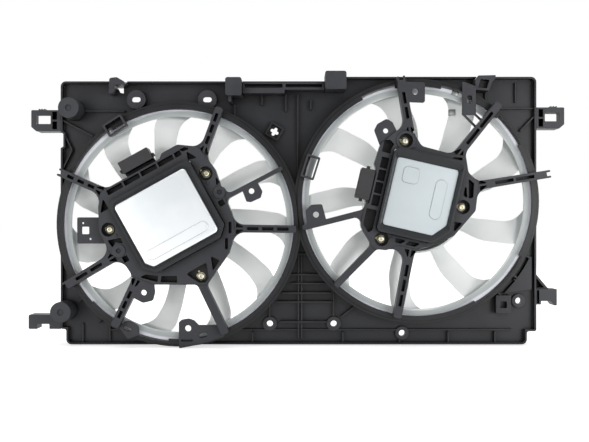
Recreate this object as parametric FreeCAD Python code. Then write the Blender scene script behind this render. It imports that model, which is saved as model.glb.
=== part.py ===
import FreeCAD
import Part
import math
import os

# Twin radiator cooling fan: a black plastic shroud with two ducts, a motor carried on
# spokes in each duct, and a banded fan on each motor. All sizes are in millimetres.
# +X runs to the right and +Z up for someone at the engine side, and +Y points to the
# radiator. The origin lies midway between the two fan axes, in the plane that seats on
# the radiator. "Depth" below is the distance from that plane towards the engine.

V = FreeCAD.Vector
ENGINE_WARD = V(0, -1, 0)

# Layout: the two ducts stand side by side, and the plate reaches a margin beyond them
duct_bore_r = 154.0
duct_gap = 2.0
axis_gap_x = 2 * duct_bore_r + duct_gap
axis_gap_z = 30.0
axes = {"left": (-axis_gap_x / 2, -axis_gap_z / 2), "right": (axis_gap_x / 2, axis_gap_z / 2)}
unit_turn = {"left": 29.0, "right": -13.0}

# Shroud plate and the wall round it
plate_front = 36.0
plate_thick = 2.5
skirt_front = 44.0
skirt_wall = 2.5
left_margin = 5.5
right_margin = 7.5
bottom_margin = 5.5
top_margin = {"left": 35.5, "right": 11.5}
low_step = {"left": 7.5, "right": 12.5}
edge_left = axes["left"][0] - duct_bore_r - left_margin
edge_right = axes["right"][0] + duct_bore_r + right_margin
edge_bottom = axes["left"][1] - duct_bore_r - bottom_margin
edge_top_left = axes["left"][1] + duct_bore_r + top_margin["left"]
edge_top_right = axes["right"][1] + duct_bore_r + top_margin["right"]
edge_right_low = edge_right - low_step["right"]
edge_left_low = edge_left + low_step["left"]
notch_right_z = edge_bottom + 17.5
notch_left_z = edge_bottom + 20.5
corner_r = 7.0
step_high = edge_top_left - 67.5
step_low = edge_top_left - 88.5
step_in = 3.5

# Ducts
duct_wall = 2.6
duct_rear = 20.0
lip_front = 65.0
lip_thick = 3.0
lip_reach = 4.5
lip_r = duct_bore_r - lip_reach
lip_cut_depth = lip_reach - 0.1
face_reach = 1.4
flange_reach = 5.5
flange_drop = 2.5
flange_r = duct_bore_r + flange_reach
bridge_long = 11.0
bridge_wide = 2.6
bridges = {"left": (217, 230), "right": (-47.5, -36.7, -26)}
lip_cuts = {
    "left": [(125, 155), (211, 222), (241, 265)],
    "right": [(29, 46), (65, 78), (101, 118), (300, 332)],
}

# Spokes that carry the motors
spoke_front = 79.0
spoke_floor = 2.5
spoke_pocket_wide = 4.0
gusset_r = {"channel": 16.0, "solid": 7.0}
prong_long = 5.0
prong_wide = 2.6

# Motor frames, held by the spokes
frame_front = 80.0
frame_floor = 70.0
pocket_floor = 68.0
above_frame = frame_front + 1
window_gap = 0.5

# Motor and its electronics housing
ear_top = 65.0
ear_thick = 6.0
housing_rear = 58.5
housing_wall = 2.4
housing_floor = 3.0
housing_front = {"left": 90.5, "right": 91.0}
cover_front = {"left": 94.0, "right": 84.0}
cover_high = {"left": 5.0, "right": 1.6}
cover_thick = 1.6
cover_roll = 2.6
cover_gap = 0.3
ledge_thick = 3.0
ledge_wide = 3.0
gasket_thick = 1.0
board_level = 68.0
board_thick = 1.6
board_gap = 1.5
bearing_tube_r = 14.0
shaft_r = 4.0
bearing_r = 11.0
bearing_wide = 7.0
bearing_levels = (27.0, 49.0)
shaft_gap = 0.05

# Rotor and stator
bell_r = 60.0
bell_wall = 2.5
bell_rear = 18.0
bell_front = 47.0
magnet_thick = 3.0
magnet_count = 10
air_gap = 1.0
stator_bore_r = bearing_tube_r
tooth_count = 12
core_rear = 24.0
core_front = 40.0

# Fans
hub_wall = 2.5
hub_gap = 5.5
hub_r = bell_r + hub_gap + hub_wall
hub_eye_r = 8.0
hub_rear = 15.0
hub_front = 53.5
band_inset = 13.3
band_r = duct_bore_r - band_inset
band_wall = 2.2
band_rear = 34.0
band_front = 60.0
mouth_flare = 7.0
tip_gap = 2.0
blade_thick = 2.4
blade_counts = {"left": 11, "right": 9}
first_blade = {"left": 2.3, "right": 20.2}
sweep_sign = {"left": 1, "right": -1}

# Screws
screw_shank_r = 3.0
screw_head_r = 5.2
screw_head_high = 3.6
screw_clearance = 0.3
screw_spots = {
    "left": [(63.8, 39.3), (-80.4, 36.7), (-6.1, -73.5)],
    "right": [(-33.4, 71.8), (57.0, 5.1), (-35.3, -58.3)],
}


# Drawing helpers. A flat point is (x, z) or (x, z, corner radius).

def at(x, z, depth):
    return V(x, -depth, z)


def flat_wire(points, depth):
    corners = [at(p[0], p[1], depth) for p in points]
    radii = [p[2] if len(p) > 2 else 0.0 for p in points]
    count = len(corners)
    entries, exits, mids = [], [], []
    for i, corner in enumerate(corners):
        before = (corners[i - 1] - corner).normalize()
        after = (corners[(i + 1) % count] - corner).normalize()
        if radii[i] <= 0:
            entries.append(corner)
            exits.append(corner)
            mids.append(None)
            continue
        half = before.getAngle(after) / 2
        reach = radii[i] / math.tan(half)
        bisector = (before + after).normalize()
        middle = corner + bisector * (radii[i] / math.sin(half) - radii[i])
        entries.append(corner + before * reach)
        exits.append(corner + after * reach)
        mids.append(middle)
    edges = []
    for i in range(count):
        if mids[i] is not None:
            edges.append(Part.Arc(entries[i], mids[i], exits[i]).toShape())
        start, end = exits[i], entries[(i + 1) % count]
        if (end - start).Length > 1e-6:
            edges.append(Part.LineSegment(start, end).toShape())
    return Part.Wire(edges)


def slab(points, depth_from, depth_to):
    face = Part.Face(flat_wire(points, depth_from))
    return face.extrude(ENGINE_WARD * (depth_to - depth_from))


def rectangle(x0, z0, x1, z1, radius=0.0):
    return [(x0, z0, radius), (x1, z0, radius), (x1, z1, radius), (x0, z1, radius)]


def box(x0, z0, x1, z1, depth_from, depth_to, radius=0.0):
    return slab(rectangle(x0, z0, x1, z1, radius), depth_from, depth_to)


def rod(x, z, radius, depth_from, depth_to):
    return Part.makeCylinder(radius, depth_to - depth_from, at(x, z, depth_from), ENGINE_WARD)


def rib(x0, z0, x1, z1, wide, depth_from, depth_to):
    long = math.hypot(x1 - x0, z1 - z0)
    bar = box(0, -wide / 2, long, wide / 2, depth_from, depth_to)
    bar.rotate(V(0, 0, 0), ENGINE_WARD, math.degrees(math.atan2(z1 - z0, x1 - x0)))
    bar.translate(at(x0, z0, 0))
    return bar


def tube(x, z, outer, inner, depth_from, depth_to):
    return rod(x, z, outer, depth_from, depth_to).cut(rod(x, z, inner, depth_from - 1, depth_to + 1))


def pie(x, z, inner, outer, angle_from, angle_to, depth_from, depth_to):
    high = depth_to - depth_from
    whole = Part.makeCylinder(outer, high, V(0, 0, 0), V(0, 0, 1), angle_to - angle_from)
    if inner > 0:
        whole = whole.cut(Part.makeCylinder(inner, high, V(0, 0, 0), V(0, 0, 1)))
    whole.rotate(V(0, 0, 0), V(0, 0, 1), angle_from)
    whole.rotate(V(0, 0, 0), V(1, 0, 0), 90)
    whole.translate(at(x, z, depth_from))
    return whole


def turned_profile(points):
    """Revolve (radius, depth) points about the fan axis through the origin."""
    corners = [V(radius, -depth, 0) for radius, depth in points]
    face = Part.Face(Part.makePolygon(corners + corners[:1]))
    return face.revolve(V(0, 0, 0), V(0, 1, 0), 360)


def placed(shape, side, turn=0.0):
    moved = shape.copy()
    moved.rotate(V(0, 0, 0), ENGINE_WARD, turn)
    x, z = axes[side]
    moved.translate(at(x, z, 0))
    return moved


def union(shapes):
    first, rest = shapes[0], shapes[1:]
    return first.fuse(rest).removeSplitter() if rest else first


def inset(points, amount):
    """The same outline with every side moved inwards, or outwards by a negative amount."""
    count = len(points)
    area = sum(points[i - 1][0] * points[i][1] - points[i][0] * points[i - 1][1] for i in range(count))
    inward = 1 if area > 0 else -1
    moved = []
    for i, point in enumerate(points):
        before, after = points[i - 1], points[(i + 1) % count]
        first = V(before[1] - point[1], 0, point[0] - before[0]).normalize() * inward
        second = V(point[1] - after[1], 0, after[0] - point[0]).normalize() * inward
        shift = (first + second) * (amount / (1 + first.dot(second)))
        radius = max(point[2] - amount, 0.3) if len(point) > 2 else 0.0
        moved.append((point[0] + shift.x, point[1] + shift.z, radius))
    return moved


def grown_slab(points, amount, depth_from, depth_to):
    return slab(inset(points, -amount), depth_from, depth_to)


def slot(x, z, long, wide, tilt, depth_from, depth_to):
    """A round-ended bar, turned by `tilt` degrees about its middle."""
    bar = box(-long / 2, -wide / 2, long / 2, wide / 2, depth_from, depth_to, wide / 2 - 0.001)
    bar.rotate(V(0, 0, 0), ENGINE_WARD, tilt)
    bar.translate(at(x, z, 0))
    return bar


def spread(row):
    """A plate feature's coordinates, laid out for a bore of 154 mm, moved with the ducts."""
    return tuple(value * duct_bore_r / 154.0 for value in row)


def carried(shape):
    """A finished piece moved whole, so that its middle keeps its place in the layout."""
    middle = shape.BoundBox.Center
    x, z = spread((middle.x, middle.z))
    moved = shape.copy()
    moved.translate(V(x - middle.x, 0, z - middle.z))
    return moved


def main_piece(shape):
    return max(shape.Solids, key=lambda solid: solid.Volume)


parts = {}


# Shroud plate with its outer wall, ribs and steps

shroud_outline = [
    (edge_left_low, edge_bottom, corner_r),
    (edge_right_low, edge_bottom, corner_r),
    (edge_right_low, notch_right_z, 3.0),
    (edge_right, notch_right_z, 3.0),
    (edge_right, edge_top_right, corner_r),
    (axes["right"][0] - 99.0, edge_top_right),
    (axes["right"][0] - 115.0, edge_top_left),
    (edge_left, edge_top_left, corner_r),
    (edge_left, step_high, 1.0),
    (edge_left + step_in, step_high - 2.0, 1.0),
    (edge_left + step_in, step_low + 2.0, 1.0),
    (edge_left, step_low, 1.0),
    (edge_left, notch_left_z, 3.0),
    (edge_left_low, notch_left_z, 3.0),
]
duct_outer_r = duct_bore_r + duct_wall
plate_rear = plate_front - plate_thick
boss_spots = [(-37.1, -147.5), (47.9, -147.5), (138.8, -160.0), (294.0, -117.0)]
boss_radii = [9.5, 9.5, 9.0, 9.0]
fixing_bosses = [(*spread(spot), radius) for spot, radius in zip(boss_spots, boss_radii)]
fixing_hole_r = 4.2
boss_front = 40.0
slot_bosses = [spread((-213.9, 150.0)), spread((-119.7, 150.0))]
slot_boss_front = 46.0
slot_boss_floor = 4.0
slot_boss_wall = 3.0
slot_boss_r = 12.5
slot_long = 11.6
slot_wide = 7.0
post_spots = [(edge_left + 17.3, edge_top_left - 38.4), (edge_left + 7.0, edge_bottom + 45.3)]
post_r = 13.4
post_rear = 22.0
post_front = 70.0
post_hollow_r = 4.0
post_hollow_deep = 1.5
block_spot = spread((272.0, -121.0))
block_half = 10.0
clip_spot = spread((-31.0, 108.5))
clip_tilt = -30.0
clip_recess = 15.0
clip_wall = 2.2
clip_high = 6.0
clip_bar_long = 11.5
clip_bar_wide = 4.4
rib_wide = 2.0
ledge = [(266, -108), (311, -102), (311, -58), (303, -58)]
ledge_reach = 10.5
ledge_front = 42.0

# Ribs on the plate, from one end to the other, grouped by how far they stand up
low_ribs = [
    (-250, -155.5, 285, -155.5), (-300, 135.5, -230, 135.5), (269, 139, 314, 139), (-286, -173, -286, -147),
    (-250, -171, -250, -145), (250, 151, 250, 177), (290, 147, 290, 173),
]
wall_ribs = [
    (-313, 123.5, -272, 102), (-312, 109, -300, 83.5), (-300, 83.5, -312, 59), (314, 128, 296, 109), (287, -88, 310, -101),
    (-127.5, -173, -127.5, -158), (-60, -173, -60, -158), (60, -173, 60, -158), (135, -173, 135, -158),
    (200, -173, 200, -158), (262, -173, 262, -158), (-47.6, 143, -47.6, 157), (-15.9, 135, -15.9, 157),
    (17.2, 137, 17.2, 150), (-84, 128, -84, 150), (0, 34, 0, 173),
    (1, -167, 1, -56), (5.1, -167, 5.1, -56), (-37.3, -138.5, -37.3, -120), (47.4, -137, 47.4, -97),
    (57.5, -138.5, 80, -121), (0.4, -56, -35.5, -121), (13.6, -56, 46.9, -101),
]
step_ribs = [
    (-5, -54.5, 16.3, -54.5), (-12.9, -81.9, 33.6, -81.9), (-9, -93.7, 36.2, -93.7), (-20.9, -106.3, 44.2, -106.3),
    (-27.6, -118.2, 45.5, -118.2), (-23.6, -144.7, 40.2, -144.7),
]
hook_window = [(-246, 170.7), (-232.4, 170.7), (-232.4, 159.6), (-237, 160.5), (-239.5, 165.4), (-246, 165.4)]


def duct_hole(side):
    x, z = axes[side]
    return rod(x, z, duct_outer_r, -5, lip_front + 5)


def clip_socket():
    """A small square wall on the plate round a cross-shaped clip hole."""
    x, z = clip_spot
    half = clip_recess / 2
    outer = half + clip_wall
    wall = box(x - outer, z - outer, x + outer, z + outer, plate_rear, plate_front + clip_high, 1.5)
    wall = wall.cut(box(x - half, z - half, x + half, z + half, plate_front, plate_front + clip_high + 1, 1))
    cross = [slot(x, z, clip_bar_long, clip_bar_wide, turn, plate_rear - 1, plate_front + 1) for turn in (0, 90)]
    for piece in [wall] + cross:
        piece.rotate(at(x, z, 0), ENGINE_WARD, clip_tilt)
    return wall, cross


def bridge_bars(side):
    """Short bars that tie a duct to the plate, about the fan's axis."""
    bars = []
    for angle in bridges[side]:
        bar = box(duct_outer_r - 1, -bridge_wide / 2, flange_r + bridge_long, bridge_wide / 2, plate_front, skirt_front)
        bar.rotate(V(0, 0, 0), ENGINE_WARD, angle)
        bars.append(bar)
    return bars


def shroud_panel():
    plate = slab(shroud_outline, plate_rear, plate_front)
    skirt = slab(shroud_outline, 0, skirt_front).cut(grown_slab(shroud_outline, -skirt_wall, -1, skirt_front + 1))
    ribs = []
    for rows, front in ((low_ribs, skirt_front - 4), (wall_ribs, skirt_front - 2), (step_ribs, skirt_front)):
        for row in rows:
            ribs.append(rib(*spread(row), rib_wide, plate_rear, front))
    x, z = block_spot
    half = block_half
    block = box(x - half, z - half - 2, x + half, z + half + 2, plate_rear, skirt_front + 4, 1)
    ribs.append(block.cut(box(x - 4.3, z - 4.8, x + 4.3, z + 3.8, plate_front + 4, skirt_front + 5, 1)))
    x, z = axes["right"]
    round_edge = rod(x, z, flange_r + ledge_reach, plate_rear - 1, ledge_front + 1)
    ribs.append(carried(slab(ledge, plate_rear, ledge_front)).cut(round_edge))
    socket, cross = clip_socket()
    panel = union([plate, skirt, socket] + ribs)
    cutters = [duct_hole("left"), duct_hole("right")] + cross
    for side in axes:
        cutters += [placed(bar, side) for bar in bridge_bars(side)]
    for x, z, radius in fixing_bosses:
        cutters.append(rod(x, z, radius, -1, skirt_front + 5))
    for x, z in slot_bosses:
        cutters.append(rod(x, z, slot_boss_r, -1, skirt_front + 5))
    for x, z in post_spots:
        cutters.append(rod(x, z, post_r, post_rear, skirt_front + 5))
    cutters.append(carried(slab(hook_window, plate_rear - 1, plate_front + 1)))
    for guide in ("left_box_clip", "right_box_clip", "left_hose_hook", "right_hose_hook", "top_rail"):
        corners = parts[guide].BoundBox
        cutters.append(box(corners.XMin, corners.ZMin, corners.XMax, corners.ZMax, plate_front, skirt_front + 1))
    return panel.cut(cutters)


# Duct rings

def duct_ring(side):
    """Duct barrel with the lip over the fan's rim, a stepped flange and small bridges to the plate."""
    under = lip_front - lip_thick
    barrel = turned_profile([
        (duct_bore_r, duct_rear),
        (duct_outer_r, duct_rear),
        (duct_outer_r, under - flange_drop),
        (flange_r, under - flange_drop),
        (flange_r, lip_front - flange_drop),
        (duct_bore_r + face_reach, lip_front - flange_drop),
        (duct_bore_r + face_reach, lip_front),
        (lip_r, lip_front),
        (lip_r, under),
        (duct_bore_r, under),
    ])
    for start, end in lip_cuts[side]:
        barrel = barrel.cut(pie(0, 0, lip_r - 5, lip_r + lip_cut_depth, start, end, under - 0.5, lip_front + 1))
    ring = placed(barrel.fuse(bridge_bars(side)).removeSplitter(), side)
    slope = math.degrees(math.atan2(axis_gap_z, axis_gap_x))
    size = 4 * flange_r
    half = Part.makeBox(size, size, size, V(0, -size / 2, -size / 2))
    half.rotate(V(0, 0, 0), V(0, 1, 0), -slope if side == "left" else 180 - slope)
    return ring.cut(half)


# Motor frames: outline, window and pockets, all in the unit's own turned frame

window = {
    "left": [(-63.8, 65.6, 5), (-63.8, -30.0, 5), (-50.0, -42.4, 5), (41.0, -42.4, 5), (53.7, -30.0, 5), (53.7, 65.6, 5)],
    "right": [(-45.5, 60.8, 9), (-45.5, -49.5, 6), (26.7, -49.5, 8), (47.0, -30.5, 8), (47.0, 60.8, 9)],
}
frame_outline = {
    "left": [
        (-66.0, 84.0, 8), (20.0, 84.0, 5), (27.0, 89.3, 5), (50.0, 89.3, 8), (72.0, 74.0, 6), (77.0, 38.0, 10),
        (72.0, 12.0, 8), (68.3, -22.0, 8), (60.0, -46.0, 5), (40.0, -65.0, 6), (-4.0, -86.5, 6), (-62.5, -54.0, 5),
        (-82.0, -30.0, 6), (-84.0, -8.0, 6), (-93.0, 8.0, 6), (-92.0, 40.0, 12), (-78.0, 68.0, 10),
    ],
    "right": [
        (-46.0, 84.0, 8), (-26.0, 84.0, 8), (-12.0, 69.5, 10), (30.0, 68.0, 8), (46.0, 70.0, 5), (54.0, 50.0, 8),
        (70.0, 40.0, 8), (74.0, 4.0, 7), (54.0, -34.0, 8), (30.0, -52.0, 8), (10.0, -61.0, 6), (-14.0, -61.0, 6),
        (-26.0, -71.0, 8), (-42.0, -73.0, 8), (-66.1, -48.0, 14), (-66.1, -22.0, 3), (-61.0, -16.0, 2),
        (-61.0, 26.0, 2), (-66.0, 34.0, 4), (-64.0, 60.0, 8),
    ],
}


cover_outline = {
    "left": [(-58.0, 58.0, 5), (-58.0, -25.0, 5), (-50.0, -34.0, 5), (44.5, -34.0, 6), (44.5, 58.0, 5)],
    "right": [(-39.2, 49.0, 4), (-39.2, -39.6, 4), (26.0, -39.6, 4), (41.2, -23.0, 4), (41.2, 49.0, 4)],
}
frame_ear = [(-56.8, 91, 4), (-52.8, 99, 4), (-40.6, 106, 5), (-33, 101, 4), (-24, 82, 2), (-46, 62, 2)]
frame_ear_hole = (-42.0, 90.2, 3.3)
frame_ear_rear = 74.0
ear_plate = 3.0

# Round seats that stand a little above a frame, pins beside the screws, and the screws' own seats
round_seats = {"left": [(67.5, 9.7, 8.0), (-82.0, 6.6, 8.8)], "right": []}
seat_high = 1.0
seat_hollow_r = 3.2
pins = {"left": [(60.5, 27.7), (-75.3, 25.4)], "right": [(-21.3, 66.8), (-24.1, -55.2)]}
pin_r = 1.8
screw_seat_r = 9.0
seat_ridge_r = 12.4
foot_recess = [(-14.7, 12.1, 2), (15.5, 12.5, 2), (8.3, -7.0, 3), (1.5, -9.5, 3), (-6.0, -5.5, 3)]

# Pockets in the frames' faces, in the unit's turned frame
face_pockets = {
    "left": [
        [(48, 82.5, 1), (56, 82, 1), (62, 77, 1), (52, 78, 1)],
        [(52, 65.5, 1), (64, 62, 1), (56, 76, 1)],
        [(-79, 60, 1), (-67, 75, 1), (-67, 60, 1)],
        [(-87, 14, 1), (-80, 18, 1), (-72, 12, 1), (-72, 20, 1), (-88, 25, 1)],
        [(59.5, -7.5, 1), (67, -7.5, 1), (67, 0, 1), (59.5, 0, 1)],
        [(-82.8, -11, 1), (-75.5, -11, 1), (-75.5, -3, 1), (-82.8, -3, 1)],
        [(68, 19, 0.8), (74, 21, 0.8), (73, 30, 0.8)],
        [(18, -57, 1), (25.5, -67, 1), (11, -75, 1)],
        [(-66, -37, 1), (-53, -46.5, 1), (-58, -52.5, 1), (-75, -36, 1)],
        [(-49.5, -48.5, 1), (-32, -58, 1), (-36, -65.5, 1), (-54.5, -54.5, 1)],
    ],
    "right": [
        [(56, 42, 1), (64, 38, 1), (67, 20, 1), (62, 17, 1)],
        [(54, 20, 1), (60, 17, 1), (54, 36, 1)],
        [(50.5, -16, 1), (61, -15, 1), (53, -29, 1)],
        [(31, 62.8, 0.6), (43, 63, 0.6), (42, 66.5, 0.6), (31, 64.5, 0.4)],
        [(-18, -53, 1), (-4, -53, 1), (-10, -58.5, 1), (-18, -58.5, 1)],
        [(0, -53, 1), (15, -53, 1), (8, -58.5, 1), (-5, -58.5, 1)],
        [(-60.5, 51, 1.5), (-49, 51, 1.5), (-49, 58, 1.5), (-47, 64, 1.5), (-53, 68, 1.5), (-60, 66, 1.5)],
        [(-62.8, -45, 6), (-62.8, -24, 1.5), (-49.5, -24, 1.5), (-49.5, -50, 2), (-54, -54, 2)],
    ],
}
top_ladder = [-60, -35.5, -10.5, 14.5, 38.8, 50]
ladder_low, ladder_high = 75.0, 81.6
side_ladder = [-20.0, -3.5, 13.0, 29.5, 46.0]
side_ladder_from, side_ladder_to = -58.6, -49.0
ladder_web = 2.4
edge_slots = [(57.5, -36.5), (43.5, -52.5)]
edge_slot_long = 15.0
edge_slot_wide = 3.8


def ladder(marks, across):
    """A row of pockets between the marks; `across` turns two marks into a pocket's corners."""
    half = ladder_web / 2
    return [slab(across(low + half, high - half), pocket_floor, above_frame) for low, high in zip(marks, marks[1:])]


def frame_pockets(side):
    pockets = [slab(outline, pocket_floor, above_frame) for outline in face_pockets[side]]
    if side == "left":
        pockets += ladder(top_ladder, lambda low, high: rectangle(low, ladder_low, high, ladder_high, 0.8))
        for x, z in edge_slots:
            pockets.append(slot(x, z, edge_slot_long, edge_slot_wide, 90 - unit_turn[side], pocket_floor, above_frame))
    else:
        pockets += ladder(side_ladder, lambda low, high: rectangle(side_ladder_from, low, side_ladder_to, high, 1))
    return pockets


def screw_recess(side, spot):
    x, z = spot
    if side == "left" and z < -60:
        outline = [(x + step_x, z + step_z, radius) for step_x, step_z, radius in foot_recess]
        return slab(outline, frame_floor, above_frame)
    return rod(x, z, screw_seat_r, frame_floor, above_frame)


def frame_body(side, low, high):
    """The frame's outer form in the unit's own frame, with its round seats."""
    body = slab(frame_outline[side], low, high)
    for x, z, radius in round_seats[side]:
        body = body.fuse(rod(x, z, radius, low, high + seat_high))
    return body.removeSplitter()


def motor_frame(side):
    body = frame_body(side, ear_top, frame_front)
    if side == "right":
        x, z = screw_spots[side][0]
        body = body.fuse(rod(x, z, seat_ridge_r, ear_top, frame_front + seat_high))
    cutters = frame_pockets(side) + [grown_slab(window[side], window_gap, ear_top - 1, above_frame + 1)]
    for x, z, radius in round_seats[side]:
        cutters.append(rod(x, z, seat_hollow_r, frame_front - 1, above_frame + 1))
    for x, z in screw_spots[side]:
        cutters.append(screw_recess(side, (x, z)))
        cutters.append(rod(x, z, screw_seat_r, frame_front, above_frame + 1))
        cutters.append(rod(x, z, screw_shank_r + screw_clearance, ear_top - 1, frame_front))
    body = main_piece(body.cut(cutters))
    body = body.fuse([rod(x, z, pin_r, frame_floor - 1, frame_front + seat_high) for x, z in pins[side]])
    body = placed(main_piece(body), side, unit_turn[side])
    if side == "right":
        x, z, radius = frame_ear_hole
        ear = slab(frame_ear, frame_ear_rear, frame_ear_rear + ear_plate)
        ear = placed(ear.cut(rod(x, z, radius, 0, 99)), side).cut(frame_filled(side))
        body = union([body, main_piece(ear)])
    return body


def frame_filled(side):
    """The frame's outer form, which the spokes end against."""
    body = frame_body(side, ear_top - 30, frame_front + 30)
    if side == "right":
        x, z = screw_spots[side][0]
        body = body.fuse(rod(x, z, seat_ridge_r, ear_top - 30, frame_front + 30))
    return placed(body, side, unit_turn[side])


# Spokes: direction, sideways offset, inner end, how far the outer end passes the duct's bore, width at
# each end, pocket length and pitch (none on a solid spoke), and the prongs at the outer end
spokes = {
    "left": {
        "top": (70.1, 0.1, 80, 6, 10.8, 9.8, 11.0, 15.4, 0),
        "clip": (156.1, 0.2, 85, 8, 11.0, 10.0, 9.0, 14.5, 2),
        "near_post": (211.1, -6.4, 76, 9, 12.5, 10.5, 17.0, 22.0, 1),
        "foot": (244.4, -16.1, 56, 0, 12.0, 10.4, 10.0, 14.0, 0),
        "low": (295.8, -5.4, 66, 0, 10.3, 10.3, 0, 0, 0),
        "middle": (359.2, -4.3, 58, -1, 10.5, 9.6, 15.0, 19.3, 0),
        "thin": (27.8, 1.4, 60, -1, 6.0, 5.0, 0, 0, 0),
    },
    "right": {
        "top": (99.4, -3.7, 66, 3, 12.0, 10.4, 15.0, 19.6, 2),
        "high": (51.1, -2.4, 56, 9, 11.5, 10.0, 24.5, 27.5, 0),
        "outer": (9.3, 7.1, 56, 14, 11.5, 10.0, 24.0, 27.0, 2),
        "foot": (259.2, 1.5, 52, -1, 12.0, 10.4, 15.0, 19.6, 0),
        "low": (225.6, 0.7, 66, -1, 9.0, 8.0, 0, 0, 0),
        "middle": (194.3, -3.1, 58, -1, 8.0, 7.0, 0, 0, 0),
    },
}
spoke_end_room = 7.0
root_room = 14.0
root_pocket = (2.8, 1.4, 8.0, 12.0, 2.4)


def rear_face(solid):
    """The largest face in the plane of depth zero."""
    flat = [face for face in solid.Faces if abs(face.BoundBox.YMin) < 1e-6 and abs(face.BoundBox.YMax) < 1e-6]
    return max(flat, key=lambda face: face.Area)


def gusseted(bar, frame, radius):
    """The bar's face with concave fillets where it runs into the frame; both stand on depth zero."""
    whole = rear_face(frame.fuse(bar).removeSplitter())
    closed = whole.makeOffset2D(radius).makeOffset2D(-radius)
    faces = closed.cut(rear_face(frame)).Faces
    return max(faces, key=lambda face: face.Area)


def spoke_cutters(offset, root, end, long, pitch):
    half = spoke_pocket_wide / 2
    floor = lip_front + spoke_floor
    near, far = root + root_room, end - spoke_end_room
    count = int((far - near + pitch - long) // pitch)
    first = (near + far - (count - 1) * pitch - long) / 2
    cutters = []
    for i in range(count):
        start = first + i * pitch
        cutters.append(box(start, offset - half, start + long, offset + half, floor, spoke_front + 1, 1))
    back, inner, outer, front, point = root_pocket
    for way in (1, -1):
        corners = [(root + back, inner, 0.6), (root + back, outer, 0.8), (root + front, point, 0.6), (root + front, inner, 0.3)]
        cutters.append(slab([(x, offset + way * z, radius) for x, z, radius in corners], floor, spoke_front + 1))
    return cutters


def spoke(side, direction, offset, start, reach, wide_in, wide_out, long, pitch, prongs):
    end = duct_bore_r + reach
    inner, outer = wide_in / 2, wide_out / 2
    soft = min(3.0, outer * 0.9)
    outline = [(start, offset - inner), (end, offset - outer, soft), (end, offset + outer, soft), (start, offset + inner)]
    frame = frame_body(side, 0, 1)
    frame.rotate(V(0, 0, 0), ENGINE_WARD, unit_turn[side] - direction)
    flat = slab(outline, 0, 1)
    root = main_piece(flat.cut(frame)).BoundBox.XMin
    kind = "channel" if long else "solid"
    bar = gusseted(flat, frame, gusset_r[kind]).extrude(ENGINE_WARD * (spoke_front - lip_front))
    bar.translate(ENGINE_WARD * lip_front)
    if long:
        bar = bar.cut(spoke_cutters(offset, root, end, long, pitch))
    for i in range(prongs):
        middle = offset + (outer - prong_wide / 2) * (2 * i - 1)
        tip = slab(rectangle(end - 4, middle - prong_wide / 2, end + prong_long, middle + prong_wide / 2, 1.2),
                   lip_front + spoke_floor, spoke_front)
        bar = bar.fuse(tip)
    bar = bar.removeSplitter()
    bar.rotate(V(0, 0, 0), ENGINE_WARD, direction)
    return bar


# Flat ears with a hole, moulded onto the spokes: owner, outline in the ring's frame, holes, depths
ears = {
    "left": [
        ("thin", [(83.3, 44.4, 2), (101.6, 57.1, 3), (109.6, 42.2, 4), (107.3, 34.1, 3), (94.7, 28.4, 3), (89, 29, 2)],
         [(95.5, 42.6, 3.6)], 76.0, 79.0),
        ("foot", [(-44.0, -68.0), (-29.6, -76.7, 3), (-28.3, -86.9, 6), (-31.0, -98.0, 4), (-43.7, -101.0, 6),
                  (-60.0, -92.5, 3)], [(-42.7, -87.8, 3.6)], 76.0, 79.0),
        ("foot", [(-78, -132, 3), (-64, -124, 10), (-51, -131, 10), (-51, -144, 4), (-66, -149, 3)], [], 65.0, 68.0),
    ],
    "right": [
        ("middle", [(-145, -12, 3), (-138, -5, 4), (-124, -4, 3), (-118, -26, 3), (-143, -32, 3)],
         [(-131.7, -17.6, 3.8)], 76.0, 79.0),
        ("top", [(8.2, 126, 3), (8.2, 152.4, 3), (-20, 153, 3), (-15, 127, 2)], [(-4.5, 140.4, 3.9)], 76.0, 79.0),
    ],
}
ear_slots = {"left": [("foot", -66.0, -136.0, 11.0, 5.2, -26.0)], "right": []}


def stator_spokes(side):
    blocked = frame_filled(side)
    bars = {}
    for name, row in spokes[side].items():
        bars[name] = main_piece(placed(spoke(side, *row), side).cut(blocked))
    for owner, outline, holes, low, high in ears[side]:
        ear = slab(outline, low, high)
        for x, z, radius in holes:
            ear = ear.cut(rod(x, z, radius, low - 1, high + 1))
        bars[owner] = main_piece(union([bars[owner], placed(ear, side).cut(blocked)]))
    for owner, x, z, long, wide, tilt in ear_slots[side]:
        opening = placed(slot(x, z, long, wide, tilt, lip_front - 1, spoke_front + 1), side)
        bars[owner] = main_piece(bars[owner].cut(opening))
    clean = []
    for piece in bars.values():
        for other in clean:
            if piece.BoundBox.intersect(other.BoundBox):
                piece = main_piece(piece.cut(other))
        clean.append(piece)
    return Part.makeCompound(clean)


# Side brackets and hooks

bracket_rear = 22.0
bracket_front = 44.0
bracket_reach = {"left": 39.0, "right": 37.0}
bracket_low = {"left": edge_top_left - 66.2, "right": edge_top_right - 68.6}
bracket_high = 28.0
bracket_plate = {"left": 4.0, "right": 13.0}
bracket_wall = 3.0
bracket_floor = 4.0
window_inset = 6.5
window_long = 19.2
cell_long = 6.0
tooth_pitch = 3.5
hook_rear = 24.0
hook_front = 44.0
hook_nose = 11.5


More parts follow.
